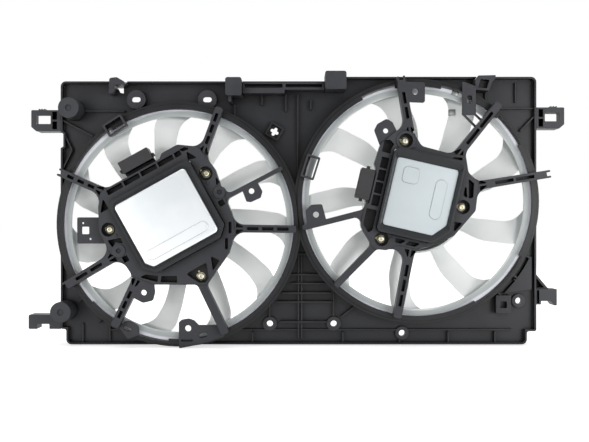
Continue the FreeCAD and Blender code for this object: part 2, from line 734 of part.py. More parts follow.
def frame_bracket(side):
    """The windowed clip socket at the top of each side, drawn for the right and mirrored."""
    root = edge_right if side == "right" else -edge_left
    tip = root + bracket_reach[side]
    low = bracket_low[side]
    high = low + bracket_high
    window_to = tip - window_inset
    window_from = window_to - window_long
    outer = [(root, low), (window_to, low, 1), (tip, low + 5.7, 1), (tip, high, 1.5), (root, high)]
    body = slab(outer, bracket_rear, bracket_front)
    cell_to = window_from - 2.4
    cell_from = cell_to - cell_long
    body = body.cut([
        box(window_from, low + 9.6, window_to, high - 7.3, bracket_rear - 1, bracket_front + 1, 0.8),
        box(cell_from, low + 2.7, cell_to, low + 12.9, bracket_rear + bracket_floor, bracket_front + 1),
        box(cell_from, low + 15.3, cell_to, high - 2.3, bracket_rear + bracket_floor, bracket_front + 1),
        box(window_from - 1, low + 6 + bracket_wall, tip - bracket_wall, high - bracket_wall, bracket_rear - 1,
            bracket_front - bracket_plate[side]),
    ])
    teeth = []
    for i in range(3):
        x = window_to - 4 - i * tooth_pitch
        teeth.append(box(x - 0.6, high, x + 0.6, high + 1.7, bracket_rear + bracket_floor, bracket_front))
    body = union([body] + teeth)
    return body if side == "right" else body.mirror(V(0, 0, 0), V(1, 0, 0))


def lower_left_hook():
    """A plain arm beside the lower post, with its end turned down."""
    tip = edge_left - 42.5
    top, under, nose = notch_left_z + 19.0, notch_left_z + 6.6, notch_left_z
    outline = [
        (tip, top, 2), (edge_left, top), (edge_left, nose), (edge_left - 15, nose, 1), (edge_left - 15, under, 1),
        (tip + hook_nose, under, 1), (tip + hook_nose, nose, 1), (tip, nose, 2),
    ]
    body = slab(outline, hook_rear, hook_front)
    x, z = post_spots[1]
    return main_piece(body.cut(rod(x, z, post_r, post_rear, post_front)))


def lower_right_hook():
    """A plain arm with its end turned down and a triangular brace above it."""
    tip = edge_right + 27.2
    top, under, nose = edge_bottom + 73.5, edge_bottom + 57.6, edge_bottom + 51.7
    brace_top = top + 18.6
    outline = [
        (edge_right, top), (tip, top, 1), (tip, nose, 1), (tip - 3.7, nose, 1), (tip - 8.2, under, 1), (tip - 21, under, 1),
        (tip - 21, nose + 1.2, 1), (edge_right, nose + 1.2),
    ]
    arm = slab(outline, hook_rear, hook_front)
    brace = slab([(edge_right, brace_top), (edge_right + 1.5, brace_top, 1), (tip - 10, top), (edge_right, top)],
                 hook_rear, hook_front - 4)
    hollows = [
        slab([(edge_right + 1, brace_top - 4.1), (tip - 15.5, top + 1.5), (edge_right + 1, top + 1.5)], hook_rear + 3, hook_front + 1),
        box(edge_right + 0.8, nose + 3, edge_right + 3.8, top - 1.5, hook_rear + 4, hook_front + 1),
    ]
    return union([arm, brace]).cut(hollows)


# Bosses and posts on the plate

def tall_posts():
    posts = []
    for x, z in post_spots:
        hollow = rod(x, z, post_hollow_r, post_front - post_hollow_deep, post_front + 1)
        posts.append(rod(x, z, post_r, post_rear, post_front).cut(hollow))
    return Part.makeCompound(posts)


def screw_bosses():
    return Part.makeCompound([
        tube(x, z, radius, fixing_hole_r, plate_rear - 2, boss_front) for x, z, radius in fixing_bosses
    ])


def slotted_bosses():
    bosses = []
    for x, z in slot_bosses:
        opening = slot(x, z, slot_long, slot_wide, 0, 0, slot_boss_front + 1)
        hollow = rod(x, z, slot_boss_r - slot_boss_wall, 0, slot_boss_front - slot_boss_floor)
        bosses.append(rod(x, z, slot_boss_r, plate_rear - 6, slot_boss_front).cut([opening, hollow, duct_hole("left")]))
    return Part.makeCompound(bosses)


# Clips and guides along the top and round the ducts

box_clip_front = 70.0
box_clip_wall = 2.5
box_clip_round = 3.0
peg = (-90.4, 144.5, -86.5, 153.0, 66.0)
rail_front = 56.0
rail_floor = 44.0
guide_front = 58.0
guide_hollow = 8.0
left_guide = [
    (-247.6, 156, 1), (-246.9, 176.5, 3), (-237.2, 177.7, 3), (-226.9, 171.7, 3), (-225.8, 167.4, 1),
    (-239.3, 167.4, 1), (-242.1, 162.4, 2), (-242.5, 156, 1),
]
right_guide = [
    (232.3, 161, 2), (232.3, 175, 2), (236.6, 179.8, 2), (259.5, 180.3, 1), (258.2, 175, 1), (254.9, 171.8, 2),
    (250.4, 160, 1),
]
right_guide_hollow = [(236, 164, 1), (247.5, 163, 1), (251, 174, 1), (239.5, 175, 1)]


def box_clip(x0, z0, x1, z1):
    """A closed box with soft corners, open only towards the plate."""
    shell = box(x0, z0, x1, z1, plate_front, box_clip_front, box_clip_round)
    wall = box_clip_wall
    return shell.cut(box(x0 + wall, z0 + wall, x1 - wall, z1 - wall, plate_front - 1, box_clip_front - wall, 1))


def left_box_clip():
    x0, z0, x1, z1, front = peg
    clip = box_clip(-94.1, 152.0, -73.0, 175.7)
    return union([clip, box(x0, z0, x1, z1, plate_front, front, 1).cut(box(-94.0, 152.1, -73.1, 175.6, 0, 99))])


def top_rail():
    rail = slab([(-72.5, 157, 1), (-72.5, 171.5, 1), (35, 171.5, 1), (35, 161.5, 1), (-17.5, 161.5, 1), (-17.5, 157, 1)],
                plate_front, rail_front)
    rail = rail.cut(box(-70, 164, -20, 169, rail_floor, rail_front + 1, 1))
    return rail.cut(box(-16, 164.5, 32, 168.8, rail_floor, rail_front + 1, 1))


def right_hose_hook():
    hollow = slab(right_guide_hollow, guide_front - guide_hollow, guide_front + 1)
    return slab(right_guide, plate_front, guide_front).cut(hollow)


def wire_clip(side, angle, wide, inner, long):
    """A small open frame that lies on the duct's flange and reaches over its mouth."""
    depth = lip_front
    wall = 2.5
    frame = box(inner, -wide / 2, inner + long, wide / 2, depth, depth + 9, 2)
    frame = frame.cut(box(inner + wall, -wide / 2 + wall, inner + long - wall, wide / 2 - wall, depth - 1, depth + 10, 1))
    frame.rotate(V(0, 0, 0), ENGINE_WARD, angle)
    return placed(frame, side)


def lower_cable_plate():
    """A thin plate on the foot of the left duct; its points are measured from the bore's lowest point."""
    outline = [
        (0.6, -7.2, 2), (0.6, 26.5, 2), (4.0, 30.0, 3), (13.5, 31.7, 6), (20.4, 29.4, 4), (26.3, 23.3, 2), (51.1, 23.3, 2),
        (60.0, 15.1, 2), (60.0, 8.5, 2), (27.8, -2.0, 3),
    ]
    low, high = lip_front - 1, lip_front + 4
    plate = slab(outline, lip_front, lip_front + 3)
    plate = plate.cut([
        rod(12.7, 18.9, 4, low, high), slot(32.3, 10.1, 10.9, 5.8, 18, low, high), slot(11.2, 3.2, 16.0, 2.6, 0, low, high),
    ])
    plate.translate(at(0, -duct_bore_r, 0))
    return main_piece(placed(plate, "left").cut(parts["left_stator_spokes"]))


def side_tab():
    plate = slab([(-131.2, -25.1, 2), (-70, -25.1), (-70, -10), (-103.2, 9.0, 2), (-131.2, 9.0, 2)], ear_top, ear_top + 3)
    low, high = ear_top - 1, ear_top + 4
    plate = plate.cut(box(-125.2, -12.8, -115.6, -3.2, low, high, 1))
    plate = plate.cut([rod(-123.6, 1.5, 1.4, low, high), rod(-114.2, -19.1, 1.4, low, high)])
    return main_piece(placed(plate, "left").cut([frame_filled("left"), parts["left_stator_spokes"]]))


def slot_plate():
    """A slotted plate on the right duct with two struts to the spoke beside it, drawn from the bore's highest point."""
    low, high = lip_front, lip_front + 3
    plate = slab([(58.3, 1.8, 2), (76.1, -5.0, 2), (76.1, -42.3, 1), (58.3, -42.3, 1)], low, high)
    plate = union([plate, rib(59.5, -41, 76, -57.5, 2.6, low, high), rib(74.8, -41, 82, -48, 2.6, low, high)])
    plate = plate.cut(slot(67.8, -22.6, 11.6, 6.6, 90, low - 1, high + 1))
    plate.translate(at(0, duct_bore_r, 0))
    return main_piece(placed(plate, "right").cut(parts["right_stator_spokes"]))


# Motor units

def cover_seat(side):
    return cover_front[side] - cover_high[side] - gasket_thick


def motor_housing(side):
    """Die-cast tray that holds the electronics and ends in the bearing tube."""
    front = housing_front[side]
    seat = cover_seat(side)
    lid = cover_outline[side]
    body = slab(window[side], housing_rear, front)
    hollows = [
        grown_slab(window[side], -housing_wall, housing_rear + housing_floor, seat - ledge_thick),
        grown_slab(lid, -ledge_wide, housing_rear + housing_floor, front + 1),
        grown_slab(lid, cover_gap, seat, front + 1),
    ]
    if front > cover_front[side]:
        low = flat_wire(inset(lid, -cover_gap), cover_front[side])
        high = flat_wire(inset(window[side], housing_wall), front + 0.01)
        hollows.append(Part.makeLoft([low, high], True, True))
    body = body.cut(hollows)
    if side == "left":
        bead = grown_slab(lid, 3.6, front - 1, front + 0.7).cut(grown_slab(lid, 2.6, front - 2, front + 1))
        body = body.fuse(bead)
    lugs = []
    for x, z in screw_spots[side]:
        reach = math.hypot(x, z)
        lug = box(reach - 34, -9, reach, 9, ear_top - ear_thick, ear_top)
        lug = lug.fuse(rod(reach, 0, 9, ear_top - ear_thick, ear_top))
        lug.rotate(V(0, 0, 0), ENGINE_WARD, math.degrees(math.atan2(z, x)))
        lugs.append(lug.cut(slab(window[side], housing_rear - 1, front)))
    post = rod(0, 0, bearing_tube_r, bearing_levels[0] - 2, housing_rear + 2)
    body = union([body, post] + lugs)
    bores = [rod(0, 0, bearing_r, level, level + bearing_wide) for level in bearing_levels]
    bores.append(rod(0, 0, bearing_r - 3, bearing_levels[0] - 3, housing_rear))
    bores.append(rod(0, 0, bearing_r, bearing_levels[0] - 3, bearing_levels[0]))
    for x, z in screw_spots[side]:
        bores.append(rod(x, z, screw_shank_r, ear_top - ear_thick - 1, ear_top + 1))
    body = body.cut(bores)
    return placed(main_piece(body), side, unit_turn[side])


def bead_slab(x0, z0, x1, z1, base, high):
    radius = min(x1 - x0, z1 - z0) / 2 - 0.01
    return box(x0, z0, x1, z1, base, base + high, radius)


def cover_plate(side):
    """Pressed sheet lid: rolled-over edges and a bead on the left, flat with two raised fields on the right."""
    front = cover_front[side]
    base = front - cover_high[side]
    plate = slab(cover_outline[side], base, front)
    if side == "left":
        edges = [e for e in plate.Edges if all(abs(v.Point.y + front) < 1e-6 for v in e.Vertexes)]
        plate = plate.makeFillet(cover_roll, edges)
        plate = plate.cut(grown_slab(cover_outline[side], -cover_roll, base - 1, front - cover_thick))
        plate = plate.fuse(bead_slab(-50.6, -25.5, 35.2, -12.9, front - 0.5, 1.6))
    else:
        plate = plate.fuse([
            box(-27.9, 19.1, -7.4, 39.6, front - 0.5, front + 0.6, 5),
            bead_slab(16.0, -18.7, 30.6, 32.5, front - 0.5, 1.1),
        ])
    return placed(plate.removeSplitter(), side, unit_turn[side])


def cover_gasket(side):
    seat = cover_seat(side)
    ring = grown_slab(cover_outline[side], -0.2, seat, seat + gasket_thick)
    ring = ring.cut(grown_slab(cover_outline[side], 0.3 - ledge_wide, seat - 1, seat + gasket_thick + 1))
    return placed(ring, side, unit_turn[side])


def circuit_board(side):
    board = grown_slab(window[side], -housing_wall - board_gap, board_level, board_level + board_thick)
    chips = []
    for x, z, wide, high in ((-20, 30, 14, 3), (15, 25, 10, 2.5), (10, -15, 12, 8), (-25, -10, 9, 9)):
        chips.append(box(x, z, x + wide, z + wide, board_level + board_thick, board_level + board_thick + high))
    standoffs = [rod(x, z, 3, housing_rear + housing_floor, board_level) for x, z in ((-35, 45), (35, 45), (-30, -30), (25, -30))]
    board = union([board] + chips + standoffs)
    return placed(board, side, unit_turn[side])


socket_rear = 59.0
socket_front = 78.0
socket_wall = 2.5
neck_front = 64.5
pin_wide = 1.2


def connector(side):
    """Plug socket: a neck under the frame and an open box beyond it, with lugs and contact pins."""
    rear, front, wall = socket_rear, socket_front, socket_wall
    pin_low, pin_high = 67.0, 67.0 + pin_wide
    if side == "left":
        left, right, base, tip = -29.1, 13.6, 65.6, 106.0
        neck = box(left + 4, base, right - 4, 88.0, rear, neck_front)
        body = box(left, 85.0, right, tip, rear, front, 1.5)
        body = body.cut(box(left + wall, 92.0, right - wall, tip + 1, rear + wall, front - wall, 1))
        body = body.cut(box(left - 1, 80, right + 1, 89.8, neck_front, front + 1))
        pins = [box(x, 90, x + pin_wide, 102, pin_low, pin_high) for x in (-22, -14, -6, 2)]
        lugs = [box(left - 3.2, 92.5, left + 1, 96.5, 64, 74), box(right - 1, 92.5, right + 3.2, 96.5, 64, 74)]
    else:
        low, high, base, tip = -13.6, 26.0, -45.5, -80.5
        neck = box(-68.0, low + 4, base, high - 4, rear, neck_front)
        body = box(tip, low, -62.0, high, rear, front, 1.5)
        body = body.cut(box(tip - 1, low + wall, -69.0, high - wall, rear + wall, front - wall, 1))
        pins = [box(-77.0, z, -67.0, z + pin_wide, pin_low, pin_high) for z in (-6, 2, 10, 18)]
        lugs = [box(-73.6, high - 1, -69.6, high + 3.6, 64, 74), box(-74.6, low - 3.2, -70.6, low + 1, 64, 74)]
    return placed(union([neck, body] + pins + lugs), side, unit_turn[side])


def bearing_pair():
    made = []
    for level in bearing_levels:
        made.append(tube(0, 0, bearing_r, shaft_r + shaft_gap, level, level + bearing_wide))
    return Part.makeCompound(made)


def shaft():
    return rod(0, 0, shaft_r, hub_rear - 1, bearing_levels[1] + bearing_wide - 1)


core_r = bell_r - bell_wall - magnet_thick - air_gap


def stator_core():
    yoke = tube(0, 0, 24, stator_bore_r, core_rear, core_front)
    teeth = []
    for i in range(tooth_count):
        angle = i * 360.0 / tooth_count
        tooth = box(23, -2.5, core_r - 3, 2.5, core_rear, core_front)
        tooth.rotate(V(0, 0, 0), ENGINE_WARD, angle)
        teeth.append(tooth)
        half = 180.0 / tooth_count - 3.5
        teeth.append(pie(0, 0, core_r - 4, core_r, angle - half, angle + half, core_rear, core_front))
    return union([yoke] + teeth)


def windings():
    coils = []
    for i in range(tooth_count):
        coil = box(27, -4.2, core_r - 5.5, 4.2, core_rear - 2, core_front + 2)
        coil = coil.cut(box(26, -2.5, core_r, 2.5, core_rear, core_front))
        coil.rotate(V(0, 0, 0), ENGINE_WARD, i * 360.0 / tooth_count)
        coils.append(coil)
    return Part.makeCompound(coils)


def rotor_bell():
    inner = bell_r - bell_wall
    bell = turned_profile([
        (shaft_r, bell_rear), (bell_r, bell_rear), (bell_r, bell_front), (inner, bell_front),
        (inner, bell_rear + bell_wall), (9.0, bell_rear + bell_wall), (9.0, bell_rear + 5), (shaft_r, bell_rear + 5),
    ])
    vents = []
    for i in range(6):
        vent = rod(34, 0, 6, bell_rear - 1, bell_rear + bell_wall + 1)
        vent.rotate(V(0, 0, 0), ENGINE_WARD, i * 60 + 30)
        vents.append(vent)
    return bell.cut(vents)


def magnets():
    inner = bell_r - bell_wall - magnet_thick
    outer = bell_r - bell_wall
    pitch = 360.0 / magnet_count
    return Part.makeCompound([
        pie(0, 0, inner, outer, i * pitch + 1.5, (i + 1) * pitch - 1.5, core_rear - 1, core_front + 3)
        for i in range(magnet_count)
    ])


# A blade's edges at each station outwards from the hub: share of the bore's radius, low edge, high edge
blade_stations = {
    "left": [
        (0.513, -7.7, 16.6), (0.630, -9.7, 15.1), (0.708, -12.7, 13.5), (0.786, -17.7, 11.1), (0.844, -23.6, 9.2),
        (0.883, -33.0, 6.5), (0.922, -50.0, 3.0), (0.974, -75.0, -3.0),
    ],
    "right": [
        (0.513, -5.6, 17.3), (0.630, -9.7, 18.6), (0.708, -12.8, 16.8), (0.786, -15.9, 13.8), (0.844, -20.6, 11.9),
        (0.883, -27.0, 10.2), (0.922, -42.0, 7.0), (0.974, -68.0, 3.0),
    ],
}
blade_rear = {"root": 34.0, "tip": 37.0}
blade_front = {"root": 52.0, "tip": 57.0}
blade_bow = 2.8


def blade(side):
    start = hub_r - hub_wall - 5
    stations = [(duct_bore_r * share, low, high) for share, low, high in blade_stations[side]]
    stations.insert(0, (start, stations[0][1], stations[0][2]))
    half = blade_thick / 2
    sign = sweep_sign[side]
    wires = []
    for distance, low, high in stations:
        share = (distance - start) / (duct_bore_r - start)
        rear = blade_rear["root"] + (blade_rear["tip"] - blade_rear["root"]) * share
        front = blade_front["root"] + (blade_front["tip"] - blade_front["root"]) * share
        middle, level = (low + high) / 2, (rear + front) / 2 - blade_bow
        corners = [V(distance, -depth, sign * edge) for edge, depth in (
            (low, rear - half), (middle, level - half), (high, front - half),
            (high, front + half), (middle, level + half), (low, rear + half))]
        under = Part.Arc(*corners[:3]).toShape()
        over = Part.Arc(*corners[3:]).toShape()
        tip = Part.LineSegment(corners[2], corners[3]).toShape()
        root = Part.LineSegment(corners[5], corners[0]).toShape()
        wires.append(Part.Wire([under, tip, over, root]))
    return Part.makeLoft(wires, True, False)


def fan(side):
    """Cup hub, swept blades and a rim that widens towards the radiator, moulded in one piece."""
    flare_r = duct_bore_r - tip_gap
    mouth_r = band_r + mouth_flare
    inner = hub_r - hub_wall
    hub = turned_profile([
        (hub_eye_r, hub_rear), (hub_r - 3, hub_rear), (hub_r, hub_rear + 3), (hub_r, hub_front), (inner, hub_front),
        (inner, bell_rear), (hub_eye_r, bell_rear),
    ])
    band = turned_profile([
        (band_r, band_front), (flare_r, band_front), (flare_r, band_front - band_wall),
        (band_r + band_wall + 1.5, band_front - band_wall - 1.5), (mouth_r + band_wall, band_rear), (mouth_r, band_rear),
        (band_r, band_front - band_wall - 1.5),
    ])
    room = turned_profile([
        (hub_r - 1, 0), (mouth_r + 1, 0), (mouth_r + 1, band_rear), (band_r + 1, band_front - band_wall - 1.5),
        (band_r + 1, band_front + 9), (hub_r - 1, band_front + 9),
    ])
    single = main_piece(blade(side).common(room))
    pitch = 360.0 / blade_counts[side]
    blades = []
    for i in range(blade_counts[side]):
        copy = single.copy()
        copy.rotate(V(0, 0, 0), ENGINE_WARD, first_blade[side] + i * pitch)
        blades.append(copy)
    whole = hub.fuse(blades + [band])
    screw_holes = []
    for i in range(3):
        hole = rod(20, 0, 2.1, hub_rear - 1, bell_rear + 1)
        hole.rotate(V(0, 0, 0), ENGINE_WARD, i * 120 + 90)
        screw_holes.append(hole)
    return whole.cut(screw_holes)


def hub_screws():
    made = []
    for i in range(3):
        screw = rod(20, 0, 4.0, hub_rear - 2.4, hub_rear)
        screw = screw.fuse(rod(20, 0, 2.1, hub_rear, bell_rear))
        screw.rotate(V(0, 0, 0), ENGINE_WARD, i * 120 + 90)
        made.append(screw.removeSplitter())
    return Part.makeCompound(made)


def motor_screws():
    made = []
    for side in ("left", "right"):
        for x, z in screw_spots[side]:
            head = rod(x, z, screw_head_r, frame_floor, frame_floor + screw_head_high)
            socket = Part.Face(Part.makePolygon([
                at(x + 2.2 * math.cos(math.radians(a)), z + 2.2 * math.sin(math.radians(a)), frame_floor + 1.6)
                for a in range(0, 361, 60)])).extrude(ENGINE_WARD * screw_head_high)
            shank = rod(x, z, screw_shank_r, ear_top - ear_thick, frame_floor)
            made.append(placed(head.cut(socket).fuse(shank).removeSplitter(), side, unit_turn[side]))
    return Part.makeCompound(made)


parts["screw_bosses"] = screw_bosses()
parts["slotted_bosses"] = slotted_bosses()
parts["tall_posts"] = tall_posts()
parts["upper_left_bracket"] = frame_bracket("left")
parts["upper_right_bracket"] = frame_bracket("right")
parts["lower_left_hook"] = lower_left_hook()
parts["lower_right_hook"] = lower_right_hook()
parts["top_rail"] = carried(top_rail())
parts["left_box_clip"] = carried(left_box_clip())
parts["right_box_clip"] = carried(box_clip(35.4, 160.1, 63.1, 183.8))
parts["left_hose_hook"] = carried(slab(left_guide, plate_front, guide_front))
parts["right_hose_hook"] = carried(right_hose_hook())
parts["left_wire_clip"] = wire_clip("left", 122.5, 27.8, lip_r - 7.5, 18.0)
parts["right_wire_clip"] = wire_clip("right", 162.4, 30.6, lip_r - 13.0, 18.0)
parts["shroud_panel"] = main_piece(shroud_panel())
parts["motor_screws"] = motor_screws()
for side in ("left", "right"):
    parts[side + "_duct_ring"] = duct_ring(side)
    parts[side + "_motor_frame"] = motor_frame(side)
    parts[side + "_stator_spokes"] = stator_spokes(side)
    parts[side + "_motor_housing"] = motor_housing(side)
    parts[side + "_cover_plate"] = cover_plate(side)
    parts[side + "_cover_gasket"] = cover_gasket(side)
    parts[side + "_circuit_board"] = circuit_board(side)
    parts[side + "_connector"] = connector(side)
    parts[side + "_bearings"] = placed(bearing_pair(), side)
    parts[side + "_stator_core"] = placed(stator_core(), side)
    parts[side + "_windings"] = placed(windings(), side)
    parts[side + "_shaft"] = placed(shaft(), side)
    parts[side + "_rotor_bell"] = placed(rotor_bell(), side)
    parts[side + "_magnets"] = placed(magnets(), side)
    parts[side + "_fan"] = placed(fan(side), side)
    parts[side + "_hub_screws"] = placed(hub_screws(), side)

parts["lower_cable_plate"] = lower_cable_plate()
parts["side_tab"] = side_tab()
parts["slot_plate"] = slot_plate()

os.makedirs("parts", exist_ok=True)
for name, shape in parts.items():
    shape.exportStep("parts/" + name + ".step")
    print(name, len(shape.Solids), round(shape.Volume / 1000, 2), "cm3", "valid" if shape.isValid() else "NOT VALID")
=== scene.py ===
import bpy
import math
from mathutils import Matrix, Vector


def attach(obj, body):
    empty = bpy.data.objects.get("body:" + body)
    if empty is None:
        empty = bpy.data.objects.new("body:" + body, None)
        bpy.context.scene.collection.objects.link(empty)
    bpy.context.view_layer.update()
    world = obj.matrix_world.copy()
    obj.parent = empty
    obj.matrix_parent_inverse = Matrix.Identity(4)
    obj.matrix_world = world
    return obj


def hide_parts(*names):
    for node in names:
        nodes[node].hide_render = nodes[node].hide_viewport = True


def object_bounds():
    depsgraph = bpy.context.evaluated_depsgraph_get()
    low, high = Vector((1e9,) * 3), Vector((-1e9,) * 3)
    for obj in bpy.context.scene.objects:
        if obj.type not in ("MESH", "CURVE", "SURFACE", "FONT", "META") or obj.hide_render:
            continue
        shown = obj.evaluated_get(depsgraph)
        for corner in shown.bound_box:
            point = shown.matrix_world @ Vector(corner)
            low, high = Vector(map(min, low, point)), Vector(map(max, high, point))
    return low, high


# Twin radiator cooling fan, dressed for a product photograph. Lengths are in metres.

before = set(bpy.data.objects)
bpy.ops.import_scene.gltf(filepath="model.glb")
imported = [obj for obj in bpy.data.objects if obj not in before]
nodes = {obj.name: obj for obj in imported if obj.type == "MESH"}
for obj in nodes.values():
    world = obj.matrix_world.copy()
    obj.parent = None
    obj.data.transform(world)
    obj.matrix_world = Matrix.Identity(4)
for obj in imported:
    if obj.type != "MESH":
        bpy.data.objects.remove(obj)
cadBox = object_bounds()
print("frame loaded,", len(nodes), "nodes")

bpy.context.scene.view_settings.view_transform = "Standard"

near = 1e-5  # what counts as the same place when faces and edges are picked
facing = 0.9  # how squarely a picked face looks along Y
noiseSpan = (0.3, 0.7)  # where most of a noise texture's values lie
edgeSamples = 4  # rays of each Bevel node, which rounds the edges in the shading alone


def linear(hexColour):
    # an sRGB hex colour turned to linear light, by the sRGB curve
    channels = [int(hexColour[i:i + 2], 16) / 255 for i in (1, 3, 5)]
    bent = [c / 12.92 if c <= 0.04045 else ((c + 0.055) / 1.055) ** 2.4 for c in channels]
    return (*bent, 1.0)


def perMillimetre(size):
    return 1000.0 / size  # the scale of a texture on Object coordinates that repeats about every `size` mm


def addNode(owner, kind, settings=None, links=None):
    tree = owner.node_tree
    node = tree.nodes.new(kind)
    for name, value in (settings or {}).items():
        if isinstance(name, int) or name in node.inputs:
            node.inputs[name].default_value = value
        else:
            setattr(node, name, value)
    for name, (source, output) in (links or {}).items():
        tree.links.new(source.outputs[output], node.inputs[name])
    return node


def setStops(ramp, stops):
    stops = list(stops)
    while len(ramp.elements) > len(stops):
        ramp.elements.remove(ramp.elements[-1])
    for i, (place, colour) in enumerate(stops):
        element = ramp.elements[i] if i < len(ramp.elements) else ramp.elements.new(place)
        element.position = place
        element.color = colour


def newMaterial(name):
    material = bpy.data.materials.new(name)
    material.use_nodes = True
    material.node_tree.nodes.clear()
    return material


# Camera: level, square to the front, where the photograph was taken from

camera = {
    "place": (-0.0043, -1.125, -0.0108),
    "sensor": 36.0,  # mm
    "focalPixels": 815.0,  # focal length in pixels of a picture `pictureWide` across
    "pictureWide": 589.0,
    "nearest": 0.01,  # the camera draws nothing nearer or farther than these
    "farthest": 50,
}


def addCamera():
    bpy.ops.object.camera_add(location=camera["place"], rotation=(math.radians(90), 0, 0))
    made = bpy.context.object
    made.name = "camera"
    made.data.sensor_width = camera["sensor"]
    made.data.lens = camera["focalPixels"] / camera["pictureWide"] * camera["sensor"]
    made.data.clip_start = camera["nearest"]
    made.data.clip_end = camera["farthest"]
    bpy.context.scene.camera = made


# Studio: a white floor, a white room and four soft boxes

studio = {
    "floorSize": 30.0,
    "floorGap": 0.0005,
    "floorColour": "#f4f4f4",
    "floorGlow": 0.66,  # what the camera sees on top of the lit paint, which together read white
    "roomColour": "#ffffff",
    "roomStrength": 0.44,
    "roomBehindCamera": 0.45,
    "roomFade": (-1.0, -0.1),  # Y of a mirrored ray: straight past the camera, and nearly sideways
    "boxes": {
        "topBox": {"place": (-0.3, -0.9, 1.5), "aim": (0, 0, 0), "size": (1.6, 1.0), "watts": 6.5},
        "rightBox": {"place": (1.15, -1.45, 0.06), "aim": (0.1, 0, 0), "size": (0.9, 0.4), "watts": 11.0},
        "leftBox": {"place": (-1.25, -1.4, 0.1), "aim": (-0.1, 0, 0), "size": (0.9, 0.5), "watts": 6.5},
        "backBox": {"place": (0.2, 1.7, 1.1), "aim": (0, 0, 0), "size": (1.4, 0.8), "watts": 12.0},
    },
}


def seenWhite(owner, strength, seen=1.0):
    # the camera, mirrors and clear things see `seen`, and the light on the object stays at `strength`
    path = addNode(owner, "ShaderNodeLightPath")
    either = addNode(owner, "ShaderNodeMath", {"operation": "MAXIMUM"},
                     {0: (path, "Is Camera Ray"), 1: (path, "Is Glossy Ray")})
    anySight = addNode(owner, "ShaderNodeMath", {"operation": "MAXIMUM"},
                       {0: (either, 0), 1: (path, "Is Transmission Ray")})
    return addNode(owner, "ShaderNodeMapRange", {"To Min": strength, "To Max": seen},
                   {"Value": (anySight, 0)})


def lightRoom():
    # gloss sees white behind and beside the object, and a dimmer room behind the camera
    world = bpy.data.worlds.new("whiteRoom")
    world.use_nodes = True
    world.node_tree.nodes.clear()
    white = seenWhite(world, studio["roomStrength"])
    path = addNode(world, "ShaderNodeLightPath")
    way = addNode(world, "ShaderNodeTexCoord")
    axes = addNode(world, "ShaderNodeSeparateXYZ", {}, {"Vector": (way, "Generated")})
    behind, beside = studio["roomFade"]
    dimmest = studio["roomBehindCamera"]
    depth = addNode(world, "ShaderNodeMapRange",
                    {"From Min": behind, "From Max": beside, "To Min": dimmest, "To Max": 1.0},
                    {"Value": (axes, "Y")})
    # the Mix node's factor is socket 0, and its two levels are 2 and 3
    level = addNode(world, "ShaderNodeMix", {"data_type": "FLOAT"},
                    {0: (path, "Is Glossy Ray"), 2: (white, 0), 3: (depth, 0)})
    glow = addNode(world, "ShaderNodeBackground", {"Color": linear(studio["roomColour"])},
                   {"Strength": (level, 0)})
    addNode(world, "ShaderNodeOutputWorld", {}, {"Surface": (glow, 0)})
    bpy.context.scene.world = world


def hangSoftBoxes():
    for name, row in studio["boxes"].items():
        bpy.ops.object.light_add(type="AREA", location=row["place"])
        lamp = bpy.context.object
        lamp.name = name
        lamp.data.shape = "RECTANGLE"
        lamp.data.size, lamp.data.size_y = row["size"]
        lamp.data.energy = row["watts"]
        aim = Vector(row["aim"]) - Vector(row["place"])
        lamp.rotation_euler = aim.to_track_quat("-Z", "Y").to_euler()


def layFloor():
    level = cadBox[0].z - studio["floorGap"]
    bpy.ops.mesh.primitive_plane_add(size=studio["floorSize"], location=(0, 0, level))
    floor = bpy.context.object
    floor.name = "floor"
    paint = newMaterial("whiteFloorPaint")  # matt paint that reads white and keeps a faint shadow
    matt = addNode(paint, "ShaderNodeBsdfDiffuse", {"Color": linear(studio["floorColour"])})
    sight = seenWhite(paint, 0.0, studio["floorGlow"])
    glow = addNode(paint, "ShaderNodeEmission", {"Color": linear(studio["roomColour"])},
                   {"Strength": (sight, 0)})
    both = addNode(paint, "ShaderNodeAddShader", {}, {0: (matt, 0), 1: (glow, 0)})
    addNode(paint, "ShaderNodeOutputMaterial", {}, {"Surface": (both, 0)})
    floor.data.materials.append(paint)


addCamera()
lightRoom()
hangSoftBoxes()
layFloor()
print("camera, lights and floor set")


# Shade in the corners of every moulding and pressing

cornerFall = {
    "samples": 8,
    "shut": 0.3,  # share of open space at which a corner is darkest
    "open": 0.88,  # and at which it has its full colour
}


def cornerShade(material, colour, reach, dark):
    # inner corners look darker: the colour falls off beside walls closer than `reach`
    look = cornerFall
    walls = addNode(material, "ShaderNodeAmbientOcclusion", {"samples": look["samples"], "Distance": reach})
    fall = addNode(material, "ShaderNodeMapRange",
                   {"From Min": look["shut"], "From Max": look["open"], "To Min": dark, "To Max": 1.0},
                   {"Value": (walls, "AO")})
    # the Mix node's factor is socket 0, its two colours are 6 and 7, and its colour comes out of 2
    return addNode(material, "ShaderNodeMix", {"data_type": "RGBA", "blend_type": "MULTIPLY", 0: 1.0},
                   {6: colour, 7: (fall, "Result")})


# Black mouldings. Sizes of flow marks and grain are in millimetres.

blackMoulding = {
    "colour": "#343539",
    "paler": "#3b3c40",
    "toneStops": (0.35, 0.7),
    "cornerReach": 0.018,
    "cornerDark": 0.0,
    "flowSize": 70.0,
    "grainSize": 0.7,  # the eroded tool's grain is nearer 0.1, and is drawn coarser so that it shows
    "grainDepth": 0.0001,
    "grainStrength": 0.12,
    "roughness": (0.36, 0.5),
    "gloss": 0.28,
    "edgeRound": 0.001,
}
# the broad plate comes from a polished part of the tool and is glossier; its darker colour is painted shade
# of the recessed plate, and the ducts' still darker colour is painted shade too
plateShadedLook = {**blackMoulding, "colour": "#27282b", "paler": "#303135", "roughness": (0.3, 0.4)}
ductShadedLook = {**plateShadedLook, "colour": "#1d1e20", "paler": "#232426"}
